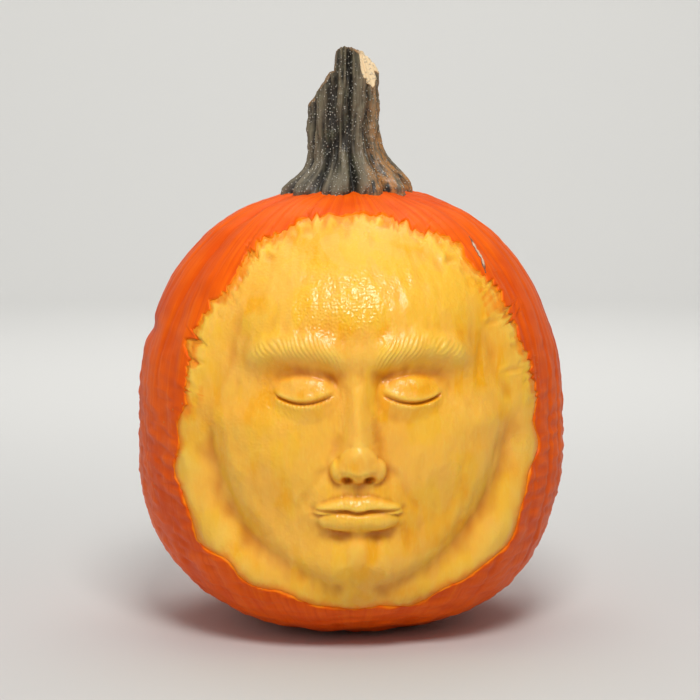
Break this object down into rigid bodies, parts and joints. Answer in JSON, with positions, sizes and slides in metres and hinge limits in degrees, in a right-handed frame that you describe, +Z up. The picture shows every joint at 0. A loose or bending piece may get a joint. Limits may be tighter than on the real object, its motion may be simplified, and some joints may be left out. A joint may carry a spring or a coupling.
{
  "type": "carved pumpkin lantern",
  "caption": "Whole round pumpkin with a ribbed, broken stem and a peeled front carved in relief as a calm face, standing on a small flat spot.",
  "frame": {"origin": "middle of the flat spot that the pumpkin stands on, on the fruit's upright axis", "axes": "+Z up through the stem, -Y out through the carved face, +X to the right of someone looking at the face"},
  "size_m": [0.2996, 0.2968, 0.4048],
  "materials": {
    "rind": "waxy deep orange pumpkin rind with fine lengthwise creases and a soft gloss",
    "flesh": "moist yellow-orange pumpkin flesh, cut and scraped, slightly see-through",
    "stem": "dark grey-brown ribbed dry stem, wet and glistening, with a pale broken top"
  },
  "bodies": {
    "root": {"pumpkin": "rind"}
  },
  "joints": []
}
